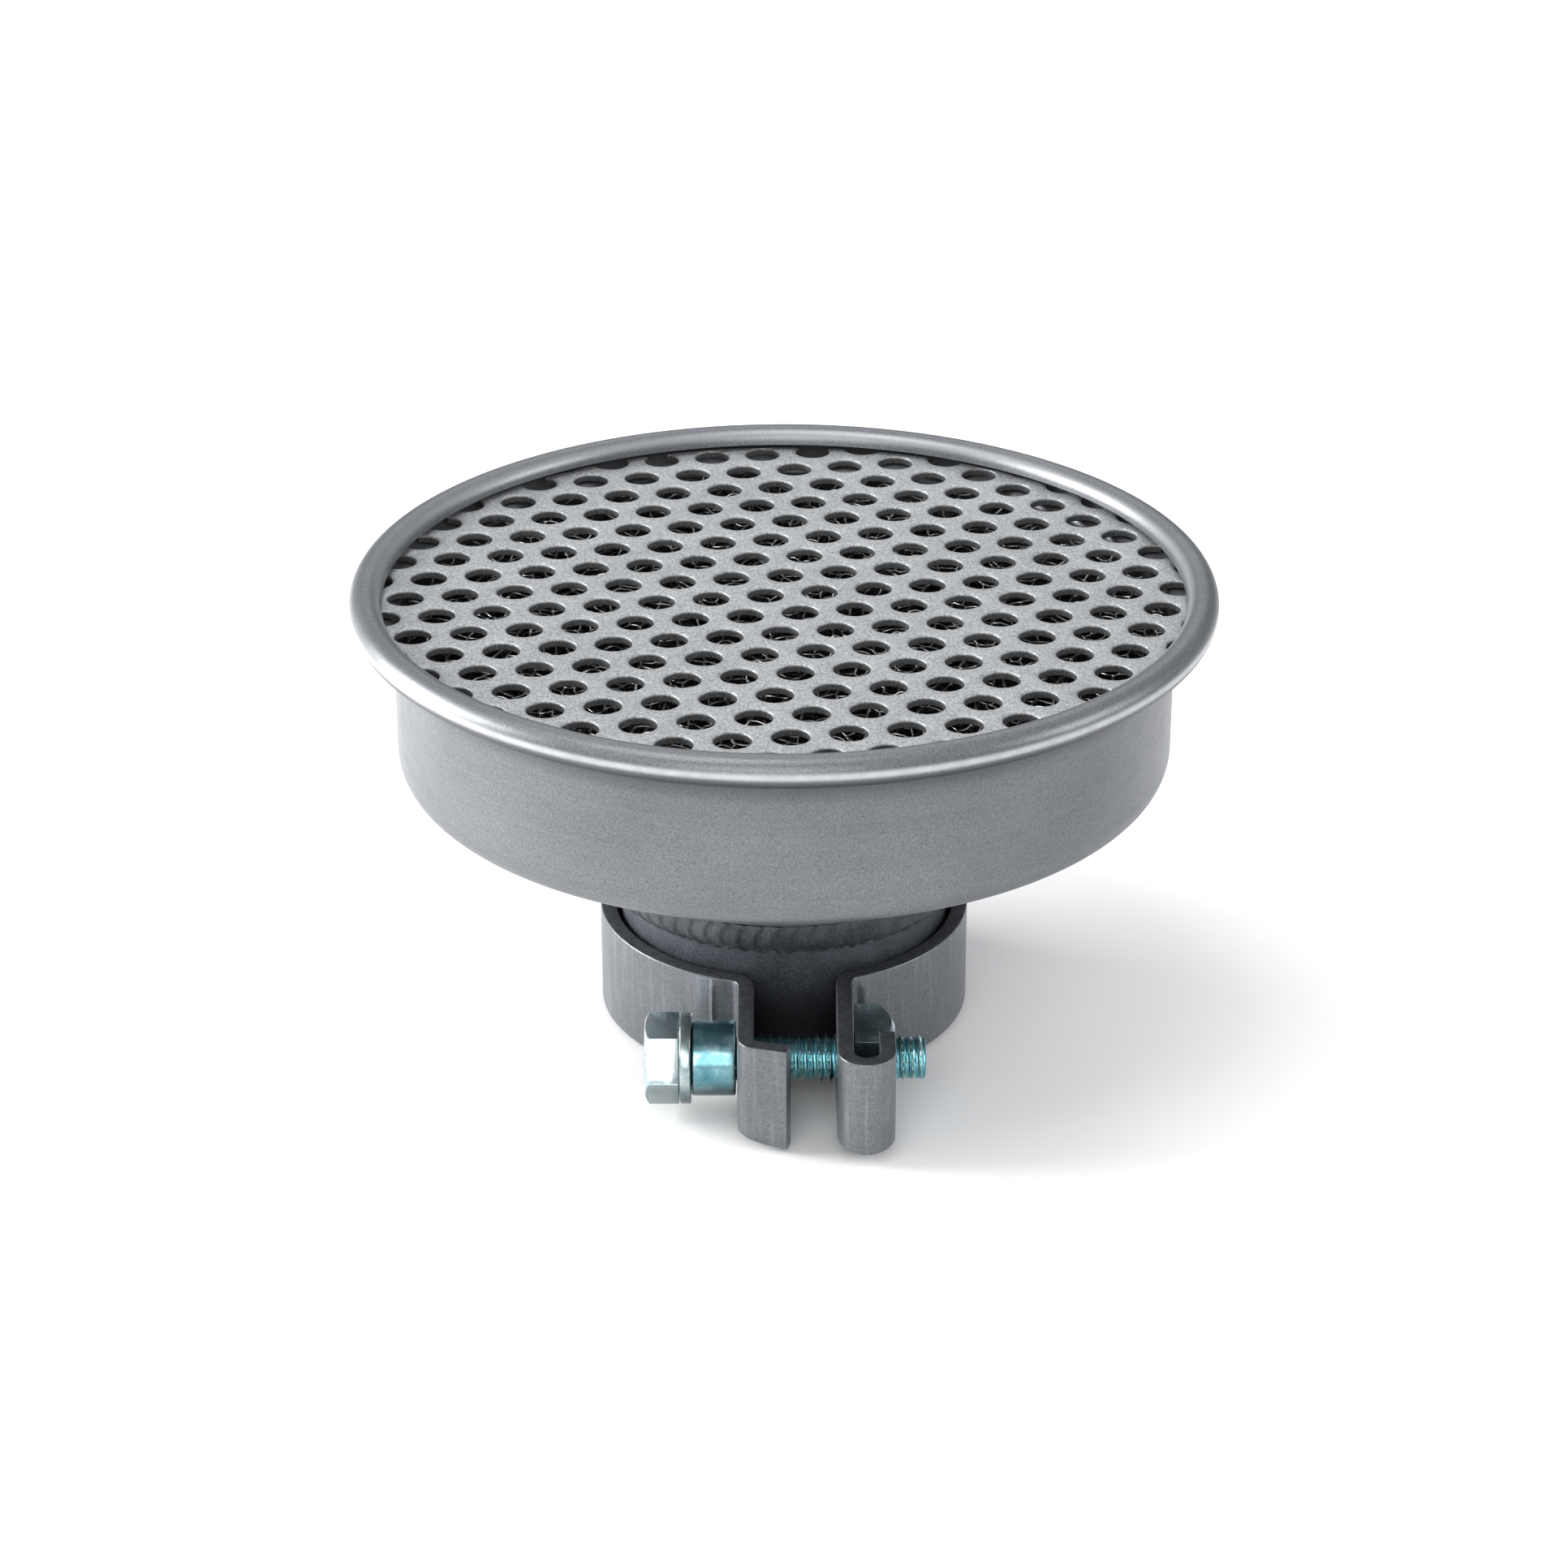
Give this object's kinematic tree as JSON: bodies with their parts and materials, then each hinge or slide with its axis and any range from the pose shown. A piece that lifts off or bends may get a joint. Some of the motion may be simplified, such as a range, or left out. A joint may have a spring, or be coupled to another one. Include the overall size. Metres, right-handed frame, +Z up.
{
  "type": "breather filter head",
  "caption": "Round sheet-metal breather filter: perforated cover over knitted wire mesh in a shallow pan, on a short pipe neck gripped by a bolted clamp band.",
  "frame": {"origin": "on the neck's axis at the neck's open lower end, the end that goes over a pipe", "axes": "+Z up along the neck and pan axis towards the perforated cover; the clamp's ears are on -Y and its bolt lies along X with its head at -X"},
  "size_m": [0.142, 0.142, 0.0775],
  "materials": {
    "silver_paint": "satin silver-grey metallic paint",
    "cover_paint": "silver-grey metallic paint, slightly rough",
    "mesh_wire": "bright knitted wire",
    "zinc_sheet": "dull zinc-coated sheet",
    "neck_primer": "dark blue-grey, lightly speckled",
    "weld_metal": "rippled weld bead under thin paint",
    "clamp_steel": "satin grey steel strip, dark cut edges",
    "bolt_zinc": "bright zinc plate",
    "sleeve_zinc": "bright zinc plate",
    "washer_zinc": "zinc plate",
    "nut_zinc": "blue-passivated zinc plate"
  },
  "bodies": {
    "root": {"housing_pan": "silver_paint", "perforated_cover": "cover_paint", "mesh_layer_1": "mesh_wire", "mesh_layer_2": "mesh_wire", "mesh_layer_3": "mesh_wire", "mesh_layer_4": "mesh_wire", "mesh_layer_5": "mesh_wire", "support_screen": "zinc_sheet", "support_ring": "zinc_sheet", "neck_tube": "neck_primer", "neck_weld": "weld_metal"},
    "clamp": {"clamp_band": "clamp_steel", "square_nut": "nut_zinc"},
    "spacers": {"lock_washer": "washer_zinc", "bolt_sleeve": "sleeve_zinc"},
    "bolt": {"clamp_bolt": "bolt_zinc"}
  },
  "joints": [
    {"name": "clamp_turn", "type": "hinge", "parent": "root", "child": "clamp", "pos_m": [0, 0, 0.0095], "axis": [0, 0, 1], "continuous": true},
    {"name": "bolt_travel", "type": "slide", "parent": "clamp", "child": "spacers", "axis": [-1, 0, 0], "range_m": [0, 0.0105]},
    {"name": "bolt_turn", "type": "hinge", "parent": "spacers", "child": "bolt", "pos_m": [0, -0.0395, 0.0095], "axis": [-1, 0, 0], "range_deg": [0, 2520]}
  ],
  "couplings": [
    {"joint": "bolt_travel", "follows": "bolt_turn", "m_per_rad": 0.00023873}
  ]
}
